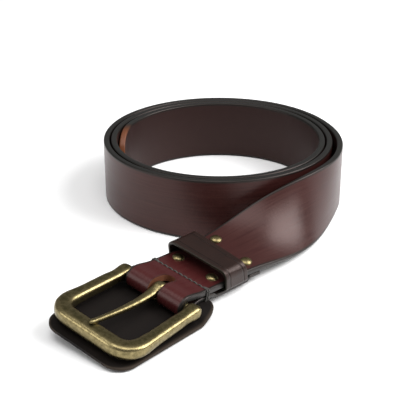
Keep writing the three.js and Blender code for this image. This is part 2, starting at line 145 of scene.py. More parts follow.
# Any place on the top layer, by its distance behind the heel bar
back_points = np.vstack([over_bar, top_points[::-1]])
back_across = np.vstack([across_end, top_across[::-1]])
back_length = np.concatenate([[0], np.cumsum(np.linalg.norm(np.diff(back_points, axis=0), axis=1))])


def between(where, lengths, rows):
    """Rows of x, y, z read off at distances along a path."""
    return np.stack([np.interp(where, lengths, rows[:, i]) for i in range(3)], axis=-1)


def on_strap(behind):
    behind = np.asarray(behind, float)
    point = between(behind, back_length, back_points)
    side = unit(between(behind, back_length, back_across))
    ahead = between(np.maximum(behind - 0.4, 0), back_length, back_points)
    after = between(behind + 0.4, back_length, back_points)
    face = unit(np.cross(side, unit(ahead - after)))
    return point, side, face


def place(behind, x, h):
    """A point by its distance behind the bar, right of the middle, and over the mid-surface."""
    point, side, face = on_strap(behind)
    return point - side * np.asarray(x, float)[..., None] + face * np.asarray(h, float)[..., None]


KEEPER_START, KEEPER_WIDTH, KEEPER_THICK, KEEPER_PLAY = 30.5, 18.3, 1.6, 0.9
POCKET_START = 25.3
LAYER_STEP = 3.8
TURNED_END = 60.8
keeper_end = KEEPER_START + KEEPER_WIDTH


def layer_space(behind):
    closing = 1 - smooth(behind / MEET)
    rising = smooth((behind - POCKET_START + LAYER_STEP) / LAYER_STEP)
    leaving = 1 - smooth((behind - keeper_end - KEEPER_PLAY) / LAYER_STEP)
    return GAP + (2 * fold_inside - GAP) * closing + (KEEPER_THICK + GAP) * np.minimum(rising, leaving)


bend = np.linspace(0, 1, 31)[:, None]
bend_thick = STRAP_THICK + (FOLD_THICK - STRAP_THICK) * bend
reach = fold_inside + bend_thick / 2
bend_turn = math.pi * bend
bend_points = BAR_CENTRE + reach * (face_end * np.cos(bend_turn) + way_end * np.sin(bend_turn))

behind_turned = np.linspace(0, TURNED_END, 116)[1:]
under_point, under_across, under_face = on_strap(behind_turned)
under_depth = STRAP_THICK / 2 + layer_space(behind_turned) + FOLD_THICK / 2
turned_points = under_point - under_face * under_depth[:, None]

coil_degrees = np.arange(0, coil_end - COIL_STEP / 2, COIL_STEP)
coil_points = coil_point(coil_degrees)
points = np.vstack([coil_points, top_points, bend_points, turned_points])
across = np.vstack([
    np.tile(up, (len(coil_points), 1)),
    top_across,
    np.tile(across_end, (len(bend_points), 1)),
    under_across,
])
deep = np.concatenate([
    np.ones(len(coil_points) + len(top_points)),
    bend_thick[:, 0] / STRAP_THICK,
    np.full(len(turned_points), FOLD_THICK / STRAP_THICK),
])
along = np.concatenate([[0], np.cumsum(np.linalg.norm(np.diff(points, axis=0), axis=1))])
total_length = along[-1]
tip_share = np.clip(along / TIP_ROUNDING, 0, 1)
wide = TIP_END_SHARE + (1 - TIP_END_SHARE) * np.sqrt(1 - (1 - tip_share) ** 2)
behind_bar = along[len(coil_points) + len(top_points)] - along

# The stitch line is pulled down into a groove. The leather is redder from the fold back along the run,
# and less so on the turned-back layer.
STITCH = 15.9
GROOVE_DEPTH, GROOVE_HALF = 0.45, 0.8
REDDER_LENGTH, UNDER_REDNESS = 75.0, 0.35
groove = GROOVE_DEPTH * np.exp(-(((behind_bar - STITCH) / GROOVE_HALF) ** 2))
on_top = behind_bar > -12
redness = smooth(1 - behind_bar / REDDER_LENGTH) * on_top + UNDER_REDNESS * ~on_top


def strip_section(thick, width, rounding, columns):
    """A strip's outline as rows of depth, width, painted edge (0 to 1) and flesh side (0 or 1)."""
    inner = width - 2 * rounding
    inset = np.concatenate([[0, 0.4, 1.0], np.linspace(3, inner - 3, columns), inner - np.array([1.0, 0.4,
                                                                                                 0])])
    painted = np.clip(1 - np.minimum(inset, inset[::-1]) / 1.0, 0, 1)
    faces = inset - inner / 2
    quarter = np.linspace(0, math.pi / 2, 6)[1:-1]
    corner = [(rounding * (1 - math.cos(a)), rounding * (1 - math.sin(a))) for a in quarter]
    x, y = thick / 2, width / 2
    rows = [(x, side, paint, 0) for side, paint in zip(faces, painted)]
    rows += [(x - a, y - b, 1, 0) for a, b in corner]
    rows += [(x - rounding, y, 1, 0), (-x + rounding, y, 1, 0)]
    rows += [(-x + a, y - b, 1, 1) for a, b in corner[::-1]]
    rows += [(-x, side, paint, 1) for side, paint in zip(faces[::-1], painted[::-1])]
    rows += [(-x + a, -y + b, 1, 1) for a, b in corner]
    rows += [(-x + rounding, -y, 1, 0), (x - rounding, -y, 1, 0)]
    rows += [(x - a, -y + b, 1, 0) for a, b in corner[::-1]]
    return np.array(rows)


def skin(name, rings, lengths, girths, closed=False, attributes=None):
    """A closed skin over rings of points in mm: ring, then place in the ring. Its UV map is in metres."""
    count, size, _ = rings.shape
    vertices = (rings.reshape(-1, 3) * MM).tolist()
    quads, uvs = [], []
    steps = count if closed else count - 1
    for i in range(steps):
        after = (i + 1) % count
        for j in range(size):
            beside = (j + 1) % size
            quads.append((i * size + j, i * size + beside, after * size + beside, after * size + j))
            v0, v1 = girths[j], girths[j + 1]
            u0, u1 = lengths[i], lengths[i + 1]
            uvs += [(u0, v0), (u0, v1), (u1, v1), (u1, v0)]
    if not closed:
        quads.append(tuple(range(size))[::-1])
        quads.append(tuple((count - 1) * size + j for j in range(size)))
        uvs += [(0.0, girths[j]) for j in range(size)][::-1] + [(lengths[-1], girths[j]) for j in range(size)]
    mesh = bpy.data.meshes.new(name)
    mesh.from_pydata(vertices, [], quads)
    layer = mesh.uv_layers.new(name="UVMap")
    layer.data.foreach_set("uv", (np.array(uvs) * MM).ravel())
    for key, values in (attributes or {}).items():
        attribute = mesh.attributes.new(key, "FLOAT", "POINT")
        attribute.data.foreach_set("value", np.asarray(values, float).ravel())
    mesh.polygons.foreach_set("use_smooth", [True] * len(mesh.polygons))
    if not closed:
        mesh.polygons[-1].use_smooth = False
        mesh.polygons[-2].use_smooth = False
    outward = bmesh.new()
    outward.from_mesh(mesh)
    bmesh.ops.recalc_face_normals(outward, faces=outward.faces)
    outward.to_mesh(mesh)
    outward.free()
    mesh.update()
    piece = bpy.data.objects.new(name, mesh)
    bpy.context.scene.collection.objects.link(piece)
    return piece


def sweep(name, points, across, section, deep=None, wide=None, lower=None, attributes=None):
    """Carries a section along stations: its first number lies along the face, its second along the width."""
    count = len(points)
    deep = np.ones(count) if deep is None else deep
    wide = np.ones(count) if wide is None else wide
    way = unit(np.gradient(points, axis=0))
    face = unit(np.cross(across, way))
    x = section[None, :, 0] * deep[:, None]
    if lower is not None:
        x = x - lower[:, None] * (section[None, :, 0] > 0)
    y = section[None, :, 1] * wide[:, None]
    rings = points[:, None, :] + face[:, None, :] * x[..., None] + across[:, None, :] * y[..., None]
    ring = np.vstack([section[:, :2], section[:1, :2]])
    girths = np.concatenate([[0], np.cumsum(np.linalg.norm(np.diff(ring, axis=0), axis=1))])
    lengths = np.concatenate([[0], np.cumsum(np.linalg.norm(np.diff(points, axis=0), axis=1))])
    return skin(name, rings, lengths, girths, attributes=attributes)


def linear(hex_colour):
    channels = [int(hex_colour[i : i + 2], 16) / 255 for i in (1, 3, 5)]
    return tuple(c / 12.92 if c <= 0.04045 else ((c + 0.055) / 1.055) ** 2.4 for c in channels) + (1.0,)


def add_node(tree, kind, inputs=None, **settings):
    made = tree.nodes.new(kind)
    for key, value in settings.items():
        setattr(made, key, value)
    for key, value in (inputs or {}).items():
        socket = made.inputs[key]
        if isinstance(value, bpy.types.NodeSocket):
            tree.links.new(value, socket)
        else:
            socket.default_value = value
    return made


def new_material(name):
    material = bpy.data.materials.new(name)
    material.use_nodes = True
    tree = material.node_tree
    return material, tree, tree.nodes["Principled BSDF"]


# Bridle leather: drum-dyed brown, waxed and glazed. It has a broad satin shine, faint pull lines along its
# length and a fine grain; the flesh side is duller, and the painted edge is a smooth green-black.
bridle, tree, shader = new_material("bridle_leather")
metres = add_node(tree, "ShaderNodeUVMap", uv_map="UVMap")
mm_place = add_node(tree, "ShaderNodeVectorMath", {0: metres.outputs[0], 1: (1000, 1000, 1000)},
                    operation="MULTIPLY")
cloudy = add_node(tree, "ShaderNodeTexNoise", {"Vector": mm_place.outputs[0], "Scale": 0.04, "Detail": 4.0})
pulled = add_node(tree, "ShaderNodeVectorMath", {0: mm_place.outputs[0], 1: (0.03, 1, 1)},
                  operation="MULTIPLY")
streaks = add_node(tree, "ShaderNodeTexNoise", {"Vector": pulled.outputs[0], "Scale": 1.1, "Detail": 4.0})
pores = add_node(tree, "ShaderNodeTexVoronoi", {"Vector": mm_place.outputs[0], "Scale": 1.6})
fibre = add_node(tree, "ShaderNodeTexNoise", {"Vector": mm_place.outputs[0], "Scale": 3.2, "Detail": 4.0})
painted = add_node(tree, "ShaderNodeAttribute", attribute_name="painted")
flesh = add_node(tree, "ShaderNodeAttribute", attribute_name="flesh")
wine = add_node(tree, "ShaderNodeAttribute", attribute_name="wine")
raw = add_node(tree, "ShaderNodeAttribute", attribute_name="raw")
brown = add_node(tree, "ShaderNodeMix", {0: cloudy.outputs[0], 6: linear("#230e0d"), 7: linear("#361817")},
                 data_type="RGBA")
reddened = add_node(tree, "ShaderNodeMix", {0: wine.outputs["Fac"], 6: brown.outputs[2],
                                            7: linear("#3c1214")},
                    data_type="RGBA")
streaked_part = add_node(tree, "ShaderNodeMapRange", {0: streaks.outputs[0], 1: 0.35, 2: 0.75, 3: 0.0,
                                                      4: 0.35})
streaked = add_node(tree, "ShaderNodeMix", {0: streaked_part.outputs[0], 6: reddened.outputs[2],
                                            7: linear("#4a2b25")},
                    data_type="RGBA")
dull_back = add_node(tree, "ShaderNodeMix", {0: flesh.outputs["Fac"], 6: streaked.outputs[2],
                                             7: linear("#22100e")},
                     data_type="RGBA")
edged = add_node(tree, "ShaderNodeMix", {0: painted.outputs["Fac"], 6: dull_back.outputs[2],
                                         7: linear("#121412")},
                 data_type="RGBA")
bare = add_node(tree, "ShaderNodeMix", {0: raw.outputs["Fac"], 6: edged.outputs[2], 7: linear("#6e3f26")},
                data_type="RGBA")
tree.links.new(bare.outputs[2], shader.inputs["Base Color"])
shine = add_node(tree, "ShaderNodeMapRange", {0: streaks.outputs[0], 1: 0.3, 2: 0.7, 3: 0.28, 4: 0.38})
shine_back = add_node(tree, "ShaderNodeMix", {0: flesh.outputs["Fac"], 2: shine.outputs[0], 3: 0.55})
shine_edge = add_node(tree, "ShaderNodeMix", {0: painted.outputs["Fac"], 2: shine_back.outputs[0], 3: 0.4})
tree.links.new(shine_edge.outputs[0], shader.inputs["Roughness"])
grain = add_node(tree, "ShaderNodeMath", {0: pores.outputs[0], 1: fibre.outputs[0]}, operation="ADD")
grain_bump = add_node(tree, "ShaderNodeBump", {"Height": grain.outputs[0], "Strength": 0.12,
                                               "Distance": 0.0002})
pull_bump = add_node(tree, "ShaderNodeBump", {"Height": streaks.outputs[0], "Strength": 0.25,
                                              "Distance": 0.0002,
                                              "Normal": grain_bump.outputs[0]})
tree.links.new(pull_bump.outputs[0], shader.inputs["Normal"])
shader.inputs["Specular IOR Level"].default_value = 0.4
shader.inputs["Specular Tint"].default_value = linear("#e2c9c4")
shader.inputs["Coat Weight"].default_value = 0.08
shader.inputs["Coat Roughness"].default_value = 0.3

# Cut edge: undyed vegetable-tanned leather inside the punched holes and the prong's slot
raw_edge, tree, shader = new_material("raw_cut_edge")
place_m = add_node(tree, "ShaderNodeTexCoord")
fuzz = add_node(tree, "ShaderNodeTexNoise", {"Vector": place_m.outputs["Object"], "Scale": 2500.0,
                                             "Detail": 4.0})
tan = add_node(tree, "ShaderNodeMix", {0: fuzz.outputs[0], 6: linear("#432011"), 7: linear("#7c4727")},
               data_type="RGBA")
tree.links.new(tan.outputs[2], shader.inputs["Base Color"])
fuzz_bump = add_node(tree, "ShaderNodeBump", {"Height": fuzz.outputs[0], "Strength": 0.4, "Distance": 0.0002})
tree.links.new(fuzz_bump.outputs[0], shader.inputs["Normal"])
shader.inputs["Roughness"].default_value = 0.75

SECTION_COLUMNS = 13
EDGE_ROUNDING = 0.9
section = strip_section(STRAP_THICK, STRAP_WIDTH, EDGE_ROUNDING, SECTION_COLUMNS)
one = np.ones(len(section))
TIP_BARE = 0.85
tip_raw = TIP_BARE * smooth(1.6 * (1 - along / TIP_ROUNDING))
strap = sweep("strap_leather", points, across, section, deep, wide, groove, {
    "painted": np.outer(np.ones(len(points)), section[:, 2]),
    "flesh": np.outer(np.ones(len(points)), section[:, 3]),
    "wine": np.outer(redness, one),
    "raw": np.outer(tip_raw, section[:, 2]) + np.outer(along < 0.1, one) * 0.8,
})
strap.data.materials.append(bridle)

# Prong slot, rivet holes and the five prong holes, cut with round tools
PRONG_WIDTH = 5.6
SLOT_CLEARANCE = 0.75
SLOT_END = 9.8
RIVET_ROWS = (27.6, 55.6)
RIVET_SPREAD = 12.0
SHANK_RADIUS = 1.5
HOLE_COUNT, HOLE_SPACING, FIRST_HOLE, HOLE_RADIUS = 5, 25.4, 180.0, 2.4


def tool(outline, centre, side, ahead, depth):
    """A cutting tool in mm: a flat outline given along two directions, carried through by depth each way."""
    normal = np.cross(side, ahead)
    flat_ring = np.array([centre + side * a + ahead * b for a, b in outline])
    rings = np.stack([flat_ring - normal * depth, flat_ring + normal * depth])
    zeros = np.zeros(len(outline) + 1)
    made = skin("tool", rings, [0, depth], zeros)
    made.data.materials.append(raw_edge)
    return made


def circle(radius, sides=40):
    turn = np.linspace(0, 2 * math.pi, sides, endpoint=False)
    return np.stack([radius * np.cos(turn), radius * np.sin(turn)], axis=-1)


def cut(piece, tools):
    """Takes the tools' shapes out of the piece and throws the tools away."""
    for each in tools:
        modifier = piece.modifiers.new("cut", "BOOLEAN")
        modifier.operation = "DIFFERENCE"
        modifier.solver = "EXACT"
        modifier.material_mode = "TRANSFER"
        modifier.object = each
    settle(piece)
    for each in tools:
        bpy.data.objects.remove(each)


def settle(piece, sharp=40):
    """Turns a piece's live modifiers into plain mesh, with edges sharper than the angle kept crisp."""
    graph = bpy.context.evaluated_depsgraph_get()
    mesh = bpy.data.meshes.new_from_object(piece.evaluated_get(graph), preserve_all_data_layers=True,
                                           depsgraph=graph)
    piece.modifiers.clear()
    piece.data = mesh
    mesh.set_sharp_from_angle(angle=math.radians(sharp))


slot_half = PRONG_WIDTH / 2 + SLOT_CLEARANCE
slot_back = SLOT_END - slot_half
half_turn = np.linspace(0, math.pi, 21)
slot_outline = [(slot_half * math.cos(a), -slot_back - slot_half * math.sin(a)) for a in half_turn]
slot_outline += [(-slot_half, 7.5), (slot_half, 7.5)]
tools = [tool(slot_outline, BAR_CENTRE, buckle_x, way_end, 15)]

rivet_places = []
for behind in RIVET_ROWS:
    for x in (-RIVET_SPREAD, RIVET_SPREAD):
        point, side, face = on_strap(behind)
        point = point - side * x
        rivet_places.append((point, face))
        tools.append(tool(circle(SHANK_RADIUS + GAP), point, side, np.cross(face, side), 12))
for i in range(HOLE_COUNT):
    distance = FIRST_HOLE + i * HOLE_SPACING
    point = between(distance, along, points)
    ahead = unit(between(distance + 1, along, points) - point)
    tools.append(tool(circle(HOLE_RADIUS), point, up, ahead, STRAP_THICK / 2 + 0.8))
cut(strap, tools)
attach(strap, "belt")
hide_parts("strap")


# --- Buckle frame ---------------------------------------------------------------------------------------
# Cast brass, barrel-polished and then darkened: olive in the flats, rubbed bright along its ridges, where a
# painted highlight is laid as well. The bar swells towards the front, and its two ends finish in knobs round
# the heel bar.

FRAME_LENGTH = 48.6
ARM_CENTRE = 23.35
FRAME_FLARE = 1.5
CORNER_CUT = 11.0
ARM_HALF, ARM_HEIGHT = 3.75, 3.4
FRONT_HALF, FRONT_HEIGHT = 4.6, 4.1
KNOB, KNOB_REACH = 0.45, 4.3
NECK, NECK_PLACE = 0.25, 8.0
TOP_FLATNESS, UNDER_FLATNESS = 3.3, 2.3


def superellipse(places, upper, lower):
    """A closed outline from rounder (2) to squarer (4), with its own squareness above and below."""
    rows = []
    for i in range(places):
        angle = 2 * math.pi * (i + 0.5) / places
        power = 2 / (upper if math.sin(angle) > 0 else lower)
        rows.append((math.copysign(abs(math.cos(angle)) ** power, math.cos(angle)),
                     math.copysign(abs(math.sin(angle)) ** power, math.sin(angle))))
    return np.array(rows)


knob_end = KNOB_REACH * np.sin(np.linspace(math.pi / 2, 0, 12)[:-1])
arm_y = np.concatenate([knob_end, np.linspace(0, -FRAME_LENGTH + CORNER_CUT, 60)])
front_centre = ARM_CENTRE + FRAME_FLARE
arm_x = -ARM_CENTRE - FRAME_FLARE * np.clip(-arm_y, 0, None) / (FRAME_LENGTH - CORNER_CUT)
s = np.linspace(0, 1, 22)[1:]
corner_x = -front_centre + CORNER_CUT * s**2
corner_y = -FRAME_LENGTH + CORNER_CUT * (1 - s) ** 2
half_x = np.concatenate([arm_x, corner_x, np.linspace(-front_centre + CORNER_CUT, 0, 14)[1:]])
half_y = np.concatenate([arm_y, corner_y, np.full(13, -FRAME_LENGTH)])
frame_x = np.concatenate([half_x, -half_x[-2::-1]])
frame_y = np.concatenate([half_y, half_y[-2::-1]])
frame_points = np.array([at_buckle(x, y, 0) for x, y in zip(frame_x, frame_y)])
thicker = smooth((-frame_y - 0.55 * FRAME_LENGTH) / (0.4 * FRAME_LENGTH))
swell = KNOB * np.exp(-((frame_y / 3.8) ** 2)) - NECK * np.exp(-(((frame_y + NECK_PLACE) / 3.5) ** 2))
nose = np.sqrt(np.clip(1 - (np.clip(frame_y, 0, None) / (KNOB_REACH + 0.001)) ** 2, 0.0004, 1))
frame_half = (ARM_HALF + (FRONT_HALF - ARM_HALF) * thicker + swell) * nose
frame_height = (ARM_HEIGHT + (FRONT_HEIGHT - ARM_HEIGHT) * thicker + swell) * nose
bar_section = superellipse(48, TOP_FLATNESS, UNDER_FLATNESS)
corners = np.abs(bar_section[:, 0] * bar_section[:, 1]) ** 0.5
# Painted highlight with rubbed wear: the section's four corners are marked to come out lighter and smoother
ridge_rub_and_highlight = np.clip((corners - 0.55) / 0.3, 0, 1)
flat_top = np.clip(bar_section[:, 1] * 1.6 - 0.75, 0, 1) * (1 - ridge_rub_and_highlight)


def brass_piece(name, points, across, section, deep, wide, ridge_rub_and_highlight, patina):
    made = sweep(name, points, across, section, deep, wide, None, {
        "ridge_rub_and_highlight": np.outer(np.ones(len(points)), ridge_rub_and_highlight),
        "patina": np.outer(np.ones(len(points)), patina),
    })
    made.data.materials.append(brass)
    return made


# Antique brass: a yellow casting under a thin olive-brown stain, cloudy and speckled where it was left. Its
# ridges are lighter and smoother, partly rubbed wear and partly painted highlight
brass, tree, shader = new_material("antique_brass")
metres = add_node(tree, "ShaderNodeTexCoord")
speckle = add_node(tree, "ShaderNodeTexNoise", {"Vector": metres.outputs["Object"], "Scale": 2500.0,
                                                "Detail": 6.0,
                                                "Roughness": 0.65})
clouds = add_node(tree, "ShaderNodeTexNoise", {"Vector": metres.outputs["Object"], "Scale": 420.0,
                                               "Detail": 5.0})
rub_and_highlight_part = add_node(tree, "ShaderNodeAttribute", attribute_name="ridge_rub_and_highlight")
patina_part = add_node(tree, "ShaderNodeAttribute", attribute_name="patina")
mottle = add_node(tree, "ShaderNodeMath", {0: speckle.outputs[0], 1: clouds.outputs[0]}, operation="ADD")
stain = add_node(tree, "ShaderNodeMath", {0: patina_part.outputs["Fac"], 1: 0.28, 2: mottle.outputs[0]},
                 operation="MULTIPLY_ADD")
# The ridge marks lighten the colour: partly rubbed wear, partly painted highlight
wear_and_highlight = add_node(tree, "ShaderNodeMath", {0: rub_and_highlight_part.outputs["Fac"], 1: -0.22, 2: stain.outputs[0]},
                operation="MULTIPLY_ADD")
shade = add_node(tree, "ShaderNodeMapRange", {0: wear_and_highlight.outputs[0], 1: 0.8, 2: 1.35, 3: 0.0, 4: 1.0})
colour = add_node(tree, "ShaderNodeMix", {0: shade.outputs[0], 6: linear("#8f825d"), 7: linear("#4b452c")},
                  data_type="RGBA")
tree.links.new(colour.outputs[2], shader.inputs["Base Color"])
dull = add_node(tree, "ShaderNodeMapRange", {0: shade.outputs[0], 1: 0.0, 2: 1.0, 3: 0.27, 4: 0.48})
tree.links.new(dull.outputs[0], shader.inputs["Roughness"])
pitting = add_node(tree, "ShaderNodeBump", {"Height": mottle.outputs[0], "Strength": 0.25,
                                            "Distance": 0.0002})
tree.links.new(pitting.outputs[0], shader.inputs["Normal"])
shader.inputs["Metallic"].default_value = 1.0

buckle = brass_piece("buckle_casting", frame_points, np.tile(buckle_z, (len(frame_points), 1)), bar_section,
                     frame_half, frame_height, ridge_rub_and_highlight, flat_top)
bar_ends = np.array([at_buckle(x, 0, 0) for x in np.linspace(-ARM_CENTRE, ARM_CENTRE, 9)])
round_section = superellipse(32, 2, 2)
unmarked = np.zeros(len(round_section))
bar_half = np.full(len(bar_ends), BAR_RADIUS)
heel = brass_piece("heel_bar", bar_ends, np.tile(buckle_z, (len(bar_ends), 1)), round_section, bar_half,
                   bar_half,
                   unmarked, unmarked)
for piece in (buckle, heel):
    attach(piece, "frame")
    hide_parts("buckle_frame")


# --- Prong ----------------------------------------------------------------------------------------------
# One brass wire, flattened at its root and curled round the heel bar, bent like a swan's neck and tapered
# to a small round nose that rests on the front bar. Same stain as the frame.

PRONG_THICK, PRONG_TIP = 2.6, 2.9
PRONG_OVERHANG = 0.9
NECK_PULL = 9.0
PRONG_RAMP, PRONG_DIP = 19.0, 1.5
SHANK_SWELL = 0.45
curl_radius = BAR_RADIUS + GAP + PRONG_THICK / 2
curl_angle = np.radians(-12 - 288 * np.linspace(0, 1, 61)[:-1])
curl_yz = np.stack([-curl_radius * np.cos(curl_angle), curl_radius * np.sin(curl_angle)], axis=-1)
end_angle = math.radians(-300)
neck = np.array([-curl_radius * math.cos(end_angle), curl_radius * math.sin(end_angle)])
neck_way = np.array([-math.sin(end_angle), -math.cos(end_angle)])
rest_height = FRONT_HEIGHT + GAP + PRONG_THICK / 2
shank_pulls = [neck, neck + neck_way * NECK_PULL, np.array([-FRAME_LENGTH + PRONG_RAMP, PRONG_DIP]),
               np.array([-FRAME_LENGTH - PRONG_OVERHANG, rest_height])]
s = np.sin(np.linspace(0, math.pi / 2, 90))[:, None] ** 1.2
shank_yz = sum(math.comb(3, i) * s**i * (1 - s) ** (3 - i) * pull for i, pull in enumerate(shank_pulls))
prong_yz = np.vstack([curl_yz, shank_yz])
prong_points = np.array([at_buckle(0, y, z) for y, z in prong_yz])
s = s[:, 0]
ball = np.sqrt(np.clip(1 - (np.clip(s - 0.965, 0, None) / 0.0351) ** 2, 0.0004, 1))
shank_wide = (PRONG_WIDTH + (PRONG_TIP - PRONG_WIDTH) * smooth(1.1 * s)) / 2 * ball
shank_deep = (PRONG_THICK / 2 + SHANK_SWELL * np.sin(math.pi * np.clip(s, 0, 1) ** 0.7)) * ball
prong_wide = np.concatenate([np.full(len(curl_yz), PRONG_WIDTH / 2), shank_wide])
prong_deep = np.concatenate([np.full(len(curl_yz), PRONG_THICK / 2), shank_deep])
prong_section = superellipse(40, 2.3, 2.3)
# Painted highlight with rubbed wear: one side of the prong's section is marked to come out lighter
prong_rub_and_highlight = np.clip(prong_section[:, 0], 0, 1) ** 3 * 0.8
prong = brass_piece("prong_casting", prong_points, np.tile(buckle_x, (len(prong_points), 1)), prong_section,
                    prong_deep, prong_wide, prong_rub_and_highlight, np.zeros(len(prong_section)))
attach(prong, "tongue")
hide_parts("prong")


# --- Keeper ---------------------------------------------------------------------------------------------
# A band of the same hide, nearly black, butt-joined underneath between the two layers. Two crease lines
# are pressed with a hot iron along its edges, and the edges are painted like the strap's.

KEEPER_SIDE = STRAP_WIDTH / 2 + 0.6
KEEPER_LOW, KEEPER_HIGH = -STRAP_THICK / 2 - GAP, STRAP_THICK / 2 + 5.8
LOW_CORNER, HIGH_CORNER = 1.0 + KEEPER_THICK / 2, 3.4 + KEEPER_THICK / 2
CREASE_PLACE, CREASE_DEPTH, CREASE_HALF = 3.4, 0.3, 0.35
KEEPER_LEAN = 16.0
BAND_ROUNDING = 0.45
middle_side = KEEPER_SIDE + KEEPER_THICK / 2
middle_low, middle_high = KEEPER_LOW - KEEPER_THICK / 2, KEEPER_HIGH + KEEPER_THICK / 2
loop = []
for x, h, radius, start in ((middle_side, middle_low, LOW_CORNER, -90), (middle_side, middle_high,
                                                                         HIGH_CORNER, 0),
                            (-middle_side, middle_high, HIGH_CORNER, 90), (-middle_side, middle_low,
                                                                           LOW_CORNER, 180)):
    for i in range(13):
        angle = math.radians(start + 90 * i / 12)
        inward_x, inward_h = math.copysign(radius, x), math.copysign(radius,
                                                                     h - (middle_low + middle_high) / 2)
        loop.append((x - inward_x + radius * math.cos(angle), h - inward_h + radius * math.sin(angle),
                     math.cos(angle), math.sin(angle)))
full_loop = []
for (x0, h0, nx0, nh0), (x1, h1, nx1, nh1) in zip(loop, loop[1:] + loop[:1]):
    steps = max(1, int(math.hypot(x1 - x0, h1 - h0) / 1.5))
    full_loop += [tuple(np.array([x0, h0, nx0, nh0]) * (1 - i / steps) + np.array([x1, h1, nx1,
                                                                                   nh1]) * i / steps)
                  for i in range(steps)]
band_half = KEEPER_WIDTH / 2
line = np.linspace(-band_half + BAND_ROUNDING, band_half - BAND_ROUNDING, 61)
crease = CREASE_DEPTH * np.exp(-(((np.abs(line) - (band_half - CREASE_PLACE)) / CREASE_HALF) ** 2))
profile = [(place_mm, KEEPER_THICK / 2 - press, 0, press / CREASE_DEPTH) for place_mm, press in zip(line,
                                                                                                    crease)]
turn = np.linspace(math.pi / 2, -math.pi / 2, 9)[1:-1]
half_flat = KEEPER_THICK / 2 - BAND_ROUNDING
rounded = [(band_half - BAND_ROUNDING + BAND_ROUNDING * math.cos(a),
            half_flat * np.sign(round(math.sin(a), 6)) + BAND_ROUNDING * math.sin(a), 1, 0) for a in turn]
profile += rounded
profile += [(place_mm, -KEEPER_THICK / 2, 0, 0) for place_mm in np.linspace(line[-1], line[0], 21)]
profile += [(-s_mm, n, paint, press) for s_mm, n, paint, press in rounded[::-1]]
profile = np.array(profile)
keeper_middle = KEEPER_START + band_half
lean = math.tan(math.radians(KEEPER_LEAN))
rings = np.array([place(keeper_middle + profile[:, 0] - lean * (h - middle_low), x + nx * profile[:, 1],
                        h + nh * profile[:, 1]) for x, h, nx, nh in full_loop])
steps = np.linalg.norm(np.diff(np.array(full_loop + full_loop[:1])[:, :2], axis=0), axis=1)
ring = np.vstack([profile[:, :2], profile[:1, :2]])
girths = np.concatenate([[0], np.cumsum(np.linalg.norm(np.diff(ring, axis=0), axis=1))])
lengths = np.concatenate([[0], np.cumsum(steps)])

# Keeper leather: the strap's hide dyed darker, with a flatter polish
keeper_hide, tree, shader = new_material("keeper_leather")
metres = add_node(tree, "ShaderNodeUVMap", uv_map="UVMap")
mm_place = add_node(tree, "ShaderNodeVectorMath", {0: metres.outputs[0], 1: (1000, 1000, 1000)},
                    operation="MULTIPLY")
cloudy = add_node(tree, "ShaderNodeTexNoise", {"Vector": mm_place.outputs[0], "Scale": 0.12, "Detail": 4.0})
pores = add_node(tree, "ShaderNodeTexVoronoi", {"Vector": mm_place.outputs[0], "Scale": 1.6})
fibre = add_node(tree, "ShaderNodeTexNoise", {"Vector": mm_place.outputs[0], "Scale": 3.2, "Detail": 4.0})
painted = add_node(tree, "ShaderNodeAttribute", attribute_name="painted")
pressed = add_node(tree, "ShaderNodeAttribute", attribute_name="pressed")
brown = add_node(tree, "ShaderNodeMix", {0: cloudy.outputs[0], 6: linear("#150d0a"), 7: linear("#24140f")},
                 data_type="RGBA")
creased = add_node(tree, "ShaderNodeMix", {0: pressed.outputs["Fac"], 6: brown.outputs[2],
                                           7: linear("#0d0a08")},
                   data_type="RGBA")
edged = add_node(tree, "ShaderNodeMix", {0: painted.outputs["Fac"], 6: creased.outputs[2],
                                         7: linear("#1b1b14")},
                 data_type="RGBA")
tree.links.new(edged.outputs[2], shader.inputs["Base Color"])
shine = add_node(tree, "ShaderNodeMapRange", {0: cloudy.outputs[0], 1: 0.3, 2: 0.7, 3: 0.3, 4: 0.38})
tree.links.new(shine.outputs[0], shader.inputs["Roughness"])
shader.inputs["Specular IOR Level"].default_value = 0.4
shader.inputs["Specular Tint"].default_value = linear("#e2c9c4")
grain = add_node(tree, "ShaderNodeMath", {0: pores.outputs[0], 1: fibre.outputs[0]}, operation="ADD")
grain_bump = add_node(tree, "ShaderNodeBump", {"Height": grain.outputs[0], "Strength": 0.15,
                                               "Distance": 0.0002})
tree.links.new(grain_bump.outputs[0], shader.inputs["Normal"])

keeper = skin("keeper_band", rings, lengths, girths, closed=True, attributes={
    "painted": np.outer(np.ones(len(full_loop)), profile[:, 2]),
    "pressed": np.outer(np.ones(len(full_loop)), profile[:, 3]),
})
keeper.data.materials.append(keeper_hide)
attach(keeper, "loop")
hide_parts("keeper")


# --- Guard ----------------------------------------------------------------------------------------------
# A thin tongue of matt dark leather under the whole buckle, so that the metal doesn't rub the wearer. Its
# neck narrows behind the heel bar and is caught by the same stitches as the fold.

GUARD_THICK = 1.6
GUARD_OVERHANG, GUARD_TAIL = 7.4, 18.3
GUARD_SIDE = 6.2
GUARD_HALF = ARM_CENTRE + GUARD_SIDE
GUARD_TAPER, GUARD_CORNER, GUARD_ROUNDING = 2.2, 10.0, 0.4
guard_top = fold_inside + FOLD_THICK + GAP
neck_half = STRAP_WIDTH / 2 - 0.4
outer_way = unit(np.gradient(turned_points, axis=0))
outer_face = unit(np.cross(under_across, outer_way))
tail = np.linspace(GUARD_TAIL, 1.0, 40)
tail_points = between(tail, behind_turned, turned_points)
tail_face = unit(between(tail, behind_turned, outer_face))
tail_points = tail_points + tail_face * (FOLD_THICK / 2 + GAP + GUARD_THICK / 2)
tail_half = neck_half + (GUARD_HALF - neck_half) * np.sqrt(1 - ((tail - 1) / (GUARD_TAIL - 0.99)) ** 2)
guard_length = FRAME_LENGTH + GUARD_OVERHANG
ahead = guard_length * np.sin(np.linspace(0, math.pi / 2, 90))
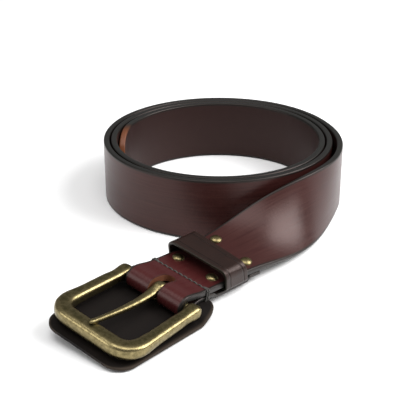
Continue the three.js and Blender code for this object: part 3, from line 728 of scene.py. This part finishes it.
to_corner = np.clip((ahead - guard_length + GUARD_CORNER) / GUARD_CORNER, 0, 1)
front_half = GUARD_HALF - GUARD_TAPER * ahead / guard_length
front_half = front_half - GUARD_CORNER * (1 - np.sqrt(np.clip(1 - to_corner**2, 0, 1)))
front_points = np.array([at_buckle(0, -distance, -guard_top - GUARD_THICK / 2) for distance in ahead])
guard_points = np.vstack([tail_points, front_points])
guard_wide = np.concatenate([tail_half, front_half]) / neck_half
guard_section = strip_section(GUARD_THICK, 2 * neck_half, GUARD_ROUNDING, 15)

# Guard leather: vegetable-tanned split, dyed dark and left matt, with a thin lighter burnished edge
guard_hide, tree, shader = new_material("guard_leather")
metres = add_node(tree, "ShaderNodeTexCoord")
cloudy = add_node(tree, "ShaderNodeTexNoise", {"Vector": metres.outputs["Object"], "Scale": 70.0,
                                               "Detail": 5.0})
fibre = add_node(tree, "ShaderNodeTexNoise", {"Vector": metres.outputs["Object"], "Scale": 1800.0,
                                              "Detail": 5.0})
painted = add_node(tree, "ShaderNodeAttribute", attribute_name="painted")
dark = add_node(tree, "ShaderNodeMix", {0: cloudy.outputs[0], 6: linear("#0a0706"), 7: linear("#140e0b")},
                data_type="RGBA")
edged = add_node(tree, "ShaderNodeMix", {0: painted.outputs["Fac"], 6: dark.outputs[2], 7: linear("#332b24")},
                 data_type="RGBA")
tree.links.new(edged.outputs[2], shader.inputs["Base Color"])
fibre_bump = add_node(tree, "ShaderNodeBump", {"Height": fibre.outputs[0], "Strength": 0.3,
                                               "Distance": 0.0002})
tree.links.new(fibre_bump.outputs[0], shader.inputs["Normal"])
shine = add_node(tree, "ShaderNodeMapRange", {0: cloudy.outputs[0], 1: 0.3, 2: 0.7, 3: 0.6, 4: 0.72})
tree.links.new(shine.outputs[0], shader.inputs["Roughness"])
shader.inputs["Specular IOR Level"].default_value = 0.15

guard = sweep("guard_tongue", guard_points, np.tile(across_end, (len(guard_points), 1)), guard_section,
              wide=guard_wide, attributes={"painted": np.outer(np.ones(len(guard_points)), guard_section[:,
                                                                                                         2])})
guard.data.materials.append(guard_hide)
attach(guard, "belt")
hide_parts("buckle_guard")


# --- Stitches -------------------------------------------------------------------------------------------
# Waxed linen thread, saddle-stitched by hand in one straight row through the strap, the fold and the
# guard, then carried round both edges twice to lock it.

THREAD_RADIUS = 0.45
STITCH_PITCH = 3.4
STITCH_REACH = 17.0
PLY_PITCH = 1.6
STITCH_SLANT = 0.25
WRAP_SPREAD, WRAP_CORNER = 0.75, 0.9
PLIES = 3


def new_tree(name, sockets):
    """An empty Geometry Nodes tree with a geometry in and out and the named inputs."""
    tree = bpy.data.node_groups.new(name, "GeometryNodeTree")
    tree.interface.new_socket(name="Geometry", in_out="INPUT", socket_type="NodeSocketGeometry")
    tree.interface.new_socket(name="Geometry", in_out="OUTPUT", socket_type="NodeSocketGeometry")
    for socket, kind in sockets:
        tree.interface.new_socket(name=socket, in_out="INPUT", socket_type=kind)
    return tree, tree.nodes.new("NodeGroupInput"), tree.nodes.new("NodeGroupOutput")


def grow(piece, tree, values):
    """Runs a Geometry Nodes tree on a piece with its inputs set, and keeps the result as plain mesh."""
    modifier = piece.modifiers.new(tree.name, "NODES")
    modifier.node_group = tree
    for item in tree.interface.items_tree:
        if item.in_out == "INPUT" and item.name in values:
            modifier[item.identifier] = values[item.name]
    settle(piece)


def guide(name, points, edges):
    mesh = bpy.data.meshes.new(name)
    mesh.from_pydata((np.array(points) * MM).tolist(), edges, [])
    piece = bpy.data.objects.new(name, mesh)
    bpy.context.scene.collection.objects.link(piece)
    return piece


def thread_tube(tree, path, radius):
    """Nodes that turn a path into thread, keeping how far along and how far round each place is."""
    walked = add_node(tree, "GeometryNodeSplineParameter")
    keep_along = add_node(tree, "GeometryNodeStoreNamedAttribute", {"Geometry": path, "Name": "along",
                          "Value": walked.outputs["Length"]}, data_type="FLOAT", domain="POINT")
    ring = add_node(tree, "GeometryNodeCurvePrimitiveCircle", {"Resolution": 12, "Radius": radius},
                    mode="RADIUS")
    turned = add_node(tree, "GeometryNodeSplineParameter")
    keep_round = add_node(tree, "GeometryNodeStoreNamedAttribute", {"Geometry": ring.outputs[0],
                                                                    "Name": "around",
                          "Value": turned.outputs["Factor"]}, data_type="FLOAT", domain="POINT")
    return add_node(tree, "GeometryNodeCurveToMesh", {"Curve": keep_along.outputs[0],
                    "Profile Curve": keep_round.outputs[0], "Fill Caps": True})


# Waxed thread: three plies twisted together, their lie worked out from the distance along and round. The
# colour is a
# painted shade and highlight on the plies: darker in the grooves between them, lighter on their crests
waxed, tree, shader = new_material("waxed_thread")
along_part = add_node(tree, "ShaderNodeAttribute", attribute_name="along")
round_part = add_node(tree, "ShaderNodeAttribute", attribute_name="around")
twist = add_node(tree, "ShaderNodeMath", {0: along_part.outputs["Fac"], 1: 1000 / PLY_PITCH,
                                          2: round_part.outputs["Fac"]},
                 operation="MULTIPLY_ADD")
plies = add_node(tree, "ShaderNodeMath", {0: twist.outputs[0], 1: PLIES * 2 * math.pi}, operation="MULTIPLY")
wave = add_node(tree, "ShaderNodeMath", {0: plies.outputs[0]}, operation="SINE")
# Painted shade and highlight: the colour follows the ply relief, dark in the grooves and light on the crests
ply_painted_shade = add_node(tree, "ShaderNodeMapRange", {0: wave.outputs[0], 1: -1.0, 2: 1.0, 3: 0.0, 4: 1.0})
grey = add_node(tree, "ShaderNodeMix", {0: ply_painted_shade.outputs[0], 6: linear("#201e1c"), 7: linear("#4d4a46")},
                data_type="RGBA")
tree.links.new(grey.outputs[2], shader.inputs["Base Color"])
ply_bump = add_node(tree, "ShaderNodeBump", {"Height": wave.outputs[0], "Strength": 0.6, "Distance": 0.0001})
tree.links.new(ply_bump.outputs[0], shader.inputs["Normal"])
shader.inputs["Roughness"].default_value = 0.6

row_tree, given, result = new_tree("stitch_row", [("Pitch", "NodeSocketFloat"), ("Thread radius",
                                                                                 "NodeSocketFloat"),
                                                  ("Slant", "NodeSocketFloat"), ("Face", "NodeSocketVector"),
                                                  ("Thread", "NodeSocketMaterial")])
line_path = add_node(row_tree, "GeometryNodeMeshToCurve", {"Mesh": given.outputs["Geometry"]})
spots = add_node(row_tree, "GeometryNodeResampleCurve", {"Curve": line_path.outputs[0],
                                                         "Length": given.outputs["Pitch"]},
                 mode="LENGTH")
way_along = add_node(row_tree, "GeometryNodeInputTangent")
lie = add_node(row_tree, "FunctionNodeAlignRotationToVector", {"Vector": given.outputs["Face"]}, axis="Z")
lie_along = add_node(row_tree, "FunctionNodeAlignRotationToVector", {"Rotation": lie.outputs[0],
                     "Vector": way_along.outputs[0]}, axis="X", pivot_axis="Z")
half_pitch = add_node(row_tree, "ShaderNodeMath", {0: given.outputs["Pitch"], 1: 0.44}, operation="MULTIPLY")
minus = add_node(row_tree, "ShaderNodeMath", {0: half_pitch.outputs[0], 1: -1.0}, operation="MULTIPLY")
dip = add_node(row_tree, "ShaderNodeMath", {0: given.outputs["Thread radius"], 1: -1.5}, operation="MULTIPLY")
lift = add_node(row_tree, "ShaderNodeMath", {0: given.outputs["Thread radius"], 1: 1.3}, operation="MULTIPLY")
start_at = add_node(row_tree, "ShaderNodeCombineXYZ", {0: minus.outputs[0], 1: given.outputs["Slant"],
                                                       2: dip.outputs[0]})
other_slant = add_node(row_tree, "ShaderNodeMath", {0: given.outputs["Slant"], 1: -1.0}, operation="MULTIPLY")
end_at = add_node(row_tree, "ShaderNodeCombineXYZ", {0: half_pitch.outputs[0], 1: other_slant.outputs[0],
                                                     2: dip.outputs[0]})
left_lift = add_node(row_tree, "ShaderNodeCombineXYZ", {0: minus.outputs[0], 1: given.outputs["Slant"],
                                                        2: lift.outputs[0]})
right_lift = add_node(row_tree, "ShaderNodeCombineXYZ", {0: half_pitch.outputs[0], 1: other_slant.outputs[0],
                                                         2: lift.outputs[0]})
one_stitch = add_node(row_tree, "GeometryNodeCurvePrimitiveBezierSegment", {"Resolution": 14,
                                                                            "Start": start_at.outputs[0],
                      "Start Handle": left_lift.outputs[0], "End Handle": right_lift.outputs[0],
                      "End": end_at.outputs[0]},
                      mode="POSITION")
stitch_mesh = thread_tube(row_tree, one_stitch.outputs[0], given.outputs["Thread radius"])
placed = add_node(row_tree, "GeometryNodeInstanceOnPoints", {"Points": spots.outputs[0],
                                                             "Instance": stitch_mesh.outputs[0],
                  "Rotation": lie_along.outputs[0]})
real = add_node(row_tree, "GeometryNodeRealizeInstances", {0: placed.outputs[0]})
dressed = add_node(row_tree, "GeometryNodeSetMaterial", {"Geometry": real.outputs[0],
                                                         "Material": given.outputs["Thread"]})
row_tree.links.new(dressed.outputs[0], result.inputs[0])

wrap_tree, given, result = new_tree("edge_wraps", [("Corner", "NodeSocketFloat"), ("Thread radius",
                                                                                   "NodeSocketFloat"),
                                                   ("Thread", "NodeSocketMaterial")])
wrap_path = add_node(wrap_tree, "GeometryNodeMeshToCurve", {"Mesh": given.outputs["Geometry"]})
eased = add_node(wrap_tree, "GeometryNodeFilletCurve", {"Curve": wrap_path.outputs[0], "Count": 8,
                 "Radius": given.outputs["Corner"]}, mode="POLY")
wrap_mesh = thread_tube(wrap_tree, eased.outputs[0], given.outputs["Thread radius"])
real = add_node(wrap_tree, "GeometryNodeRealizeInstances", {0: wrap_mesh.outputs[0]})
dressed = add_node(wrap_tree, "GeometryNodeSetMaterial", {"Geometry": real.outputs[0],
                                                          "Material": given.outputs["Thread"]})
wrap_tree.links.new(dressed.outputs[0], result.inputs[0])

thread_values = {"Pitch": STITCH_PITCH * MM, "Thread radius": THREAD_RADIUS * MM, "Slant": STITCH_SLANT * MM,
                 "Corner": WRAP_CORNER * MM, "Thread": waxed}
stack_below = STRAP_THICK / 2 + GAP + FOLD_THICK + GAP + GUARD_THICK
row_face = on_strap(STITCH)[2]
stitch_pieces = []
for name, height, way_up in (("stitch_row_top", STRAP_THICK / 2 - 0.35, 1.0), ("stitch_row_under",
                                                                               -stack_below + 0.1, -1.0)):
    row = guide(name, [place(STITCH, -STITCH_REACH, height), place(STITCH, STITCH_REACH, height)], [(0, 1)])
    grow(row, row_tree, {**thread_values, "Face": tuple(row_face * way_up)})
    stitch_pieces.append(row)
wrap_points, wrap_edges = [], []
outside = STRAP_WIDTH / 2 + THREAD_RADIUS * 0.7
for side in (-1, 1):
    for spread in (-WRAP_SPREAD, WRAP_SPREAD):
        top, bottom = STRAP_THICK / 2 + 0.05, -stack_below - 0.15
        bends = [(14.5, top - 0.9, 0.2), (16.5, top, 0.5), (outside, top, 1.0), (outside, bottom, 1.0),
                 (16.5, bottom, 0.5),
                 (14.5, bottom + 0.9, 0.2)]
        first = len(wrap_points)
        wrap_points += [place(STITCH + spread * apart, side * x, h) for x, h, apart in bends]
        wrap_edges += [(first + i, first + i + 1) for i in range(len(bends) - 1)]
wraps = guide("stitch_edge_wraps", wrap_points, wrap_edges)
grow(wraps, wrap_tree, thread_values)
stitch_pieces.append(wraps)
for piece in stitch_pieces:
    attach(piece, "belt")
    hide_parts("stitch_thread")


# --- Rivets ---------------------------------------------------------------------------------------------
# Four brass rivets, two on each side of the keeper: a flattened dome on the face, pressed a little into
# the leather, and a washer-like foot underneath, joined by the shank.

CAP_RADIUS, CAP_HEIGHT = 3.4, 1.7
FOOT_RADIUS, FOOT_HEIGHT = 2.3, 0.7

rivet_tree, given, result = new_tree("rivet_set", [("Cap radius", "NodeSocketFloat"), ("Cap height",
                                                                                       "NodeSocketFloat"),
                                                   ("Foot radius", "NodeSocketFloat"), ("Foot height",
                                                                                        "NodeSocketFloat"),
                                                   ("Shank radius", "NodeSocketFloat"), ("Stack",
                                                                                         "NodeSocketFloat"),
                                                   ("Brass", "NodeSocketMaterial")])
ball = add_node(rivet_tree, "GeometryNodeMeshUVSphere", {"Segments": 64, "Rings": 48,
                                                         "Radius": given.outputs["Cap radius"]})
place_in = add_node(rivet_tree, "GeometryNodeInputPosition")
split = add_node(rivet_tree, "ShaderNodeSeparateXYZ", {0: place_in.outputs[0]})
flatter = add_node(rivet_tree, "ShaderNodeMath", {0: given.outputs["Cap height"],
                                                  1: given.outputs["Cap radius"]},
                   operation="DIVIDE")
low = add_node(rivet_tree, "ShaderNodeMath", {0: split.outputs[2], 1: flatter.outputs[0]},
               operation="MULTIPLY")
pressed_in = add_node(rivet_tree, "ShaderNodeMath", {0: low.outputs[0], 1: -0.0001}, operation="MAXIMUM")
rejoined = add_node(rivet_tree, "ShaderNodeCombineXYZ", {0: split.outputs[0], 1: split.outputs[1],
                                                         2: pressed_in.outputs[0]})
dome = add_node(rivet_tree, "GeometryNodeSetPosition", {"Geometry": ball.outputs[0],
                                                        "Position": rejoined.outputs[0]})
shank = add_node(rivet_tree, "GeometryNodeMeshCylinder", {"Vertices": 32,
                                                          "Radius": given.outputs["Shank radius"],
                 "Depth": given.outputs["Stack"]})
half_stack = add_node(rivet_tree, "ShaderNodeMath", {0: given.outputs["Stack"], 1: -0.5},
                      operation="MULTIPLY")
shank_at = add_node(rivet_tree, "ShaderNodeCombineXYZ", {2: half_stack.outputs[0]})
shank_put = add_node(rivet_tree, "GeometryNodeTransform", {"Geometry": shank.outputs[0],
                                                           "Translation": shank_at.outputs[0]})
foot = add_node(rivet_tree, "GeometryNodeMeshCylinder", {"Vertices": 48,
                                                         "Radius": given.outputs["Foot radius"],
                "Depth": given.outputs["Foot height"]})
half_foot = add_node(rivet_tree, "ShaderNodeMath", {0: given.outputs["Foot height"], 1: -0.5},
                     operation="MULTIPLY")
foot_down = add_node(rivet_tree, "ShaderNodeMath", {0: half_foot.outputs[0], 1: given.outputs["Stack"]},
                     operation="SUBTRACT")
foot_at = add_node(rivet_tree, "ShaderNodeCombineXYZ", {2: foot_down.outputs[0]})
foot_put = add_node(rivet_tree, "GeometryNodeTransform", {"Geometry": foot.outputs[0],
                                                          "Translation": foot_at.outputs[0]})
whole = add_node(rivet_tree, "GeometryNodeJoinGeometry")
for part in (dome, shank_put, foot_put):
    rivet_tree.links.new(part.outputs[0], whole.inputs[0])
stand = add_node(rivet_tree, "GeometryNodeInputNamedAttribute", {"Name": "stand"}, data_type="FLOAT_VECTOR")
upright = add_node(rivet_tree, "FunctionNodeAlignRotationToVector", {"Vector": stand.outputs[0]}, axis="Z")
placed = add_node(rivet_tree, "GeometryNodeInstanceOnPoints", {"Points": given.outputs["Geometry"],
                  "Instance": whole.outputs[0], "Rotation": upright.outputs[0]})
real = add_node(rivet_tree, "GeometryNodeRealizeInstances", {0: placed.outputs[0]})
dressed = add_node(rivet_tree, "GeometryNodeSetMaterial", {"Geometry": real.outputs[0],
                                                           "Material": given.outputs["Brass"]})
rivet_tree.links.new(dressed.outputs[0], result.inputs[0])

for row, behind, pair in (("front", RIVET_ROWS[0], rivet_places[:2]), ("rear", RIVET_ROWS[1],
                                                                       rivet_places[2:])):
    rivets = guide(f"{row}_rivets", [point + face * STRAP_THICK / 2 for point, face in pair], [])
    stand_way = rivets.data.attributes.new("stand", "FLOAT_VECTOR", "POINT")
    stand_way.data.foreach_set("vector", np.array([face for _, face in pair]).ravel())
    stack = STRAP_THICK + float(layer_space(np.array(behind))) + FOLD_THICK
    grow(rivets, rivet_tree, {"Cap radius": CAP_RADIUS * MM, "Cap height": CAP_HEIGHT * MM,
                              "Foot radius": FOOT_RADIUS * MM, "Foot height": FOOT_HEIGHT * MM,
                              "Shank radius": SHANK_RADIUS * MM, "Stack": stack * MM, "Brass": brass})
    rivets.data.polygons.foreach_set("use_smooth", [True] * len(rivets.data.polygons))
    rivets.data.set_sharp_from_angle(angle=math.radians(50))
    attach(rivets, "belt")
    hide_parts(*[f"rivet_{part}_{row}_{side}" for part in ("cap", "post") for side in ("left",
                                                                                                "right")])


# --- Studio ---------------------------------------------------------------------------------------------
# A white table top under three soft boxes: a broad key at the right, a larger one overhead and a weak
# one at the left, in a bright room. The camera looks down over the buckle.

TABLE_SIZE, TABLE_DROP = 8, 0.2 * MM
CAMERA_PLACE, CAMERA_TILT, LENS_LENGTH = (-0.00682, -0.53421, 0.28555), 64, 93.1
BOXES = (
    ("key_box", (0.83, -0.09, 0.72), (0.04, -0.01, 0.0), (0.8, 0.85), 17),
    ("overhead_box", (-0.15, -0.3, 1.3), (0.0, 0.0, 0.0), (1.2, 0.9), 11),
    ("left_box", (-1.0, -0.35, 0.5), (0.0, -0.02, 0.0), (0.5, 0.6), 3),
)

bpy.ops.mesh.primitive_plane_add(size=TABLE_SIZE, location=(0, 0, -TABLE_DROP))
table_top = bpy.context.object
table_top.name = "table_top"
paper, tree, shader = new_material("white_paper")
shader.inputs["Base Color"].default_value = linear("#fbfbfb")
shader.inputs["Roughness"].default_value = 0.9
shader.inputs["Specular IOR Level"].default_value = 0.1
table_top.data.materials.append(paper)


def soft_box(name, place_m, aim, size, watts):
    lamp = bpy.data.lights.new(name, "AREA")
    lamp.shape = "RECTANGLE"
    lamp.size, lamp.size_y = size
    lamp.energy = watts
    light = bpy.data.objects.new(name, lamp)
    light.location = place_m
    light.rotation_euler = (Vector(aim) - Vector(place_m)).to_track_quat("-Z", "Y").to_euler()
    bpy.context.scene.collection.objects.link(light)


for box in BOXES:
    soft_box(*box)

ROOM_STRENGTH = 0.28
room = bpy.data.worlds.new("room")
room.use_nodes = True
backdrop = room.node_tree.nodes["Background"]
backdrop.inputs["Color"].default_value = linear("#ffffff")
backdrop.inputs["Strength"].default_value = ROOM_STRENGTH
bpy.context.scene.world = room

lens = bpy.data.cameras.new("camera")
lens.lens = LENS_LENGTH
lens.sensor_width = 36
lens.clip_start, lens.clip_end = 0.01, 20
camera = bpy.data.objects.new("camera", lens)
camera.location = CAMERA_PLACE
camera.rotation_euler = (math.radians(CAMERA_TILT), 0, 0)
bpy.context.scene.collection.objects.link(camera)
bpy.context.scene.camera = camera
bpy.context.scene.view_settings.view_transform = "Standard"
